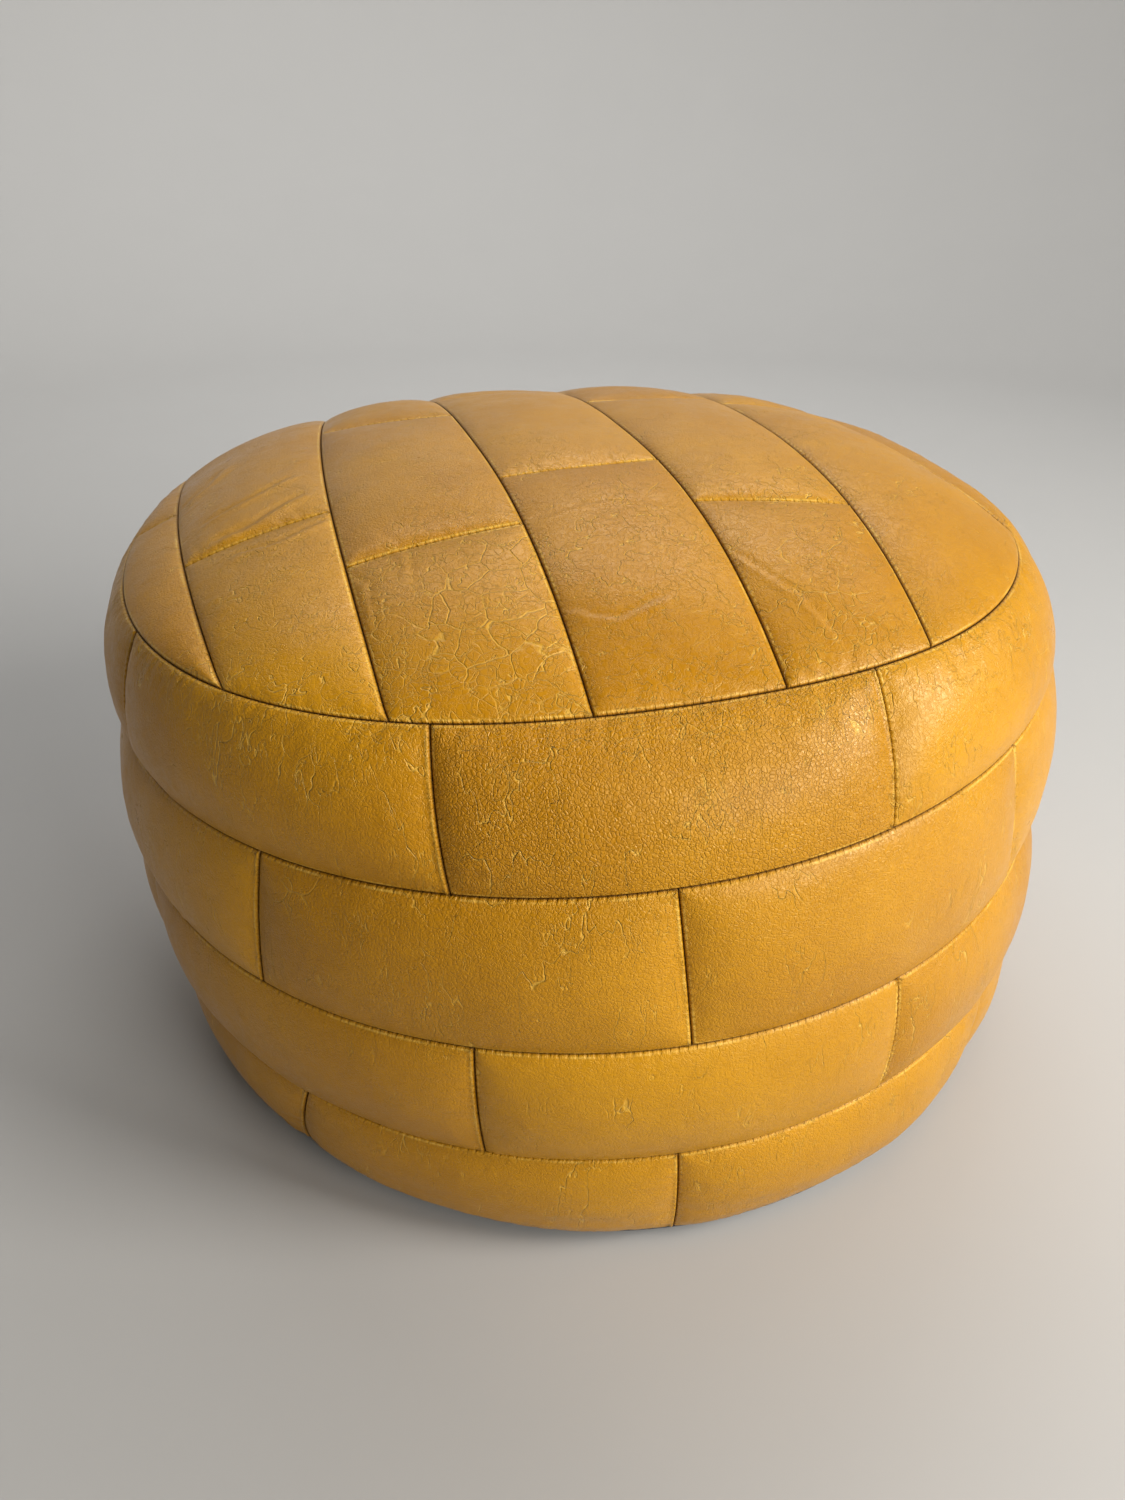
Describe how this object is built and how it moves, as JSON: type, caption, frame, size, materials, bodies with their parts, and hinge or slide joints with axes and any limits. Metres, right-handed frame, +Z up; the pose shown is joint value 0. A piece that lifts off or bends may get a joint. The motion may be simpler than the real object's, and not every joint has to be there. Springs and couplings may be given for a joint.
{
  "type": "pouf",
  "caption": "Round floor pouf of sewn leather patches over a stuffed liner bag, with a cloth base that opens by a zip.",
  "frame": {"origin": "centre of the footprint, on the floor", "axes": "+Z up; -Y is the front; the zip in the base lies along X"},
  "size_m": [0.516, 0.516, 0.332],
  "materials": {
    "cover_leather": "ochre vegetable-tanned leather, waxed, semi-gloss, creased, with small differences of tone from patch to patch",
    "base_cloth": "blue-black canvas",
    "zip_tape": "black woven tape",
    "zip_metal": "aged brass",
    "liner_calico": "unbleached calico",
    "cotton_filling": "cotton wadding"
  },
  "bodies": {
    "pouf": {"base_cloth_front": "base_cloth", "base_cloth_rear": "base_cloth", "filling": "cotton_filling", "liner_base": "liner_calico", "liner_cover": "liner_calico", "side_patch_1_1": "cover_leather", "side_patch_1_2": "cover_leather", "side_patch_1_3": "cover_leather", "side_patch_1_4": "cover_leather", "side_patch_1_5": "cover_leather", "side_patch_1_6": "cover_leather", "side_patch_1_7": "cover_leather", "side_patch_1_8": "cover_leather", "side_patch_2_1": "cover_leather", "side_patch_2_2": "cover_leather", "side_patch_2_3": "cover_leather", "side_patch_2_4": "cover_leather", "side_patch_2_5": "cover_leather", "side_patch_2_6": "cover_leather", "side_patch_2_7": "cover_leather", "side_patch_2_8": "cover_leather", "side_patch_3_1": "cover_leather", "side_patch_3_2": "cover_leather", "side_patch_3_3": "cover_leather", "side_patch_3_4": "cover_leather", "side_patch_3_5": "cover_leather", "side_patch_3_6": "cover_leather", "side_patch_3_7": "cover_leather", "side_patch_3_8": "cover_leather", "side_patch_4_1": "cover_leather", "side_patch_4_2": "cover_leather", "side_patch_4_3": "cover_leather", "side_patch_4_4": "cover_leather", "side_patch_4_5": "cover_leather", "side_patch_4_6": "cover_leather", "side_patch_4_7": "cover_leather", "side_patch_4_8": "cover_leather", "top_patch_1_1": "cover_leather", "top_patch_1_2": "cover_leather", "top_patch_2_1": "cover_leather", "top_patch_2_2": "cover_leather", "top_patch_3_1": "cover_leather", "top_patch_3_2": "cover_leather", "top_patch_3_3": "cover_leather", "top_patch_4_1": "cover_leather", "top_patch_4_2": "cover_leather", "top_patch_4_3": "cover_leather", "top_patch_5_1": "cover_leather", "top_patch_5_2": "cover_leather", "top_patch_5_3": "cover_leather", "top_patch_6_1": "cover_leather", "top_patch_6_2": "cover_leather", "top_patch_7_1": "cover_leather", "zip_stops": "zip_metal", "zip_tape_front": "zip_tape", "zip_tape_rear": "zip_tape", "zip_teeth_front": "zip_metal", "zip_teeth_rear": "zip_metal"},
    "slider": {"zip_slider": "zip_metal"},
    "pull_tab": {"zip_pull_tab": "zip_metal"}
  },
  "joints": [
    {"name": "slider_slide", "type": "slide", "parent": "pouf", "child": "slider", "axis": [-1, 0, 0], "range_m": [0, 0.3484]},
    {"name": "tab_hinge", "type": "hinge", "parent": "slider", "child": "pull_tab", "pos_m": [0.1742, 0, 0.00135], "axis": [0, -1, 0], "range_deg": [0, 180]}
  ]
}
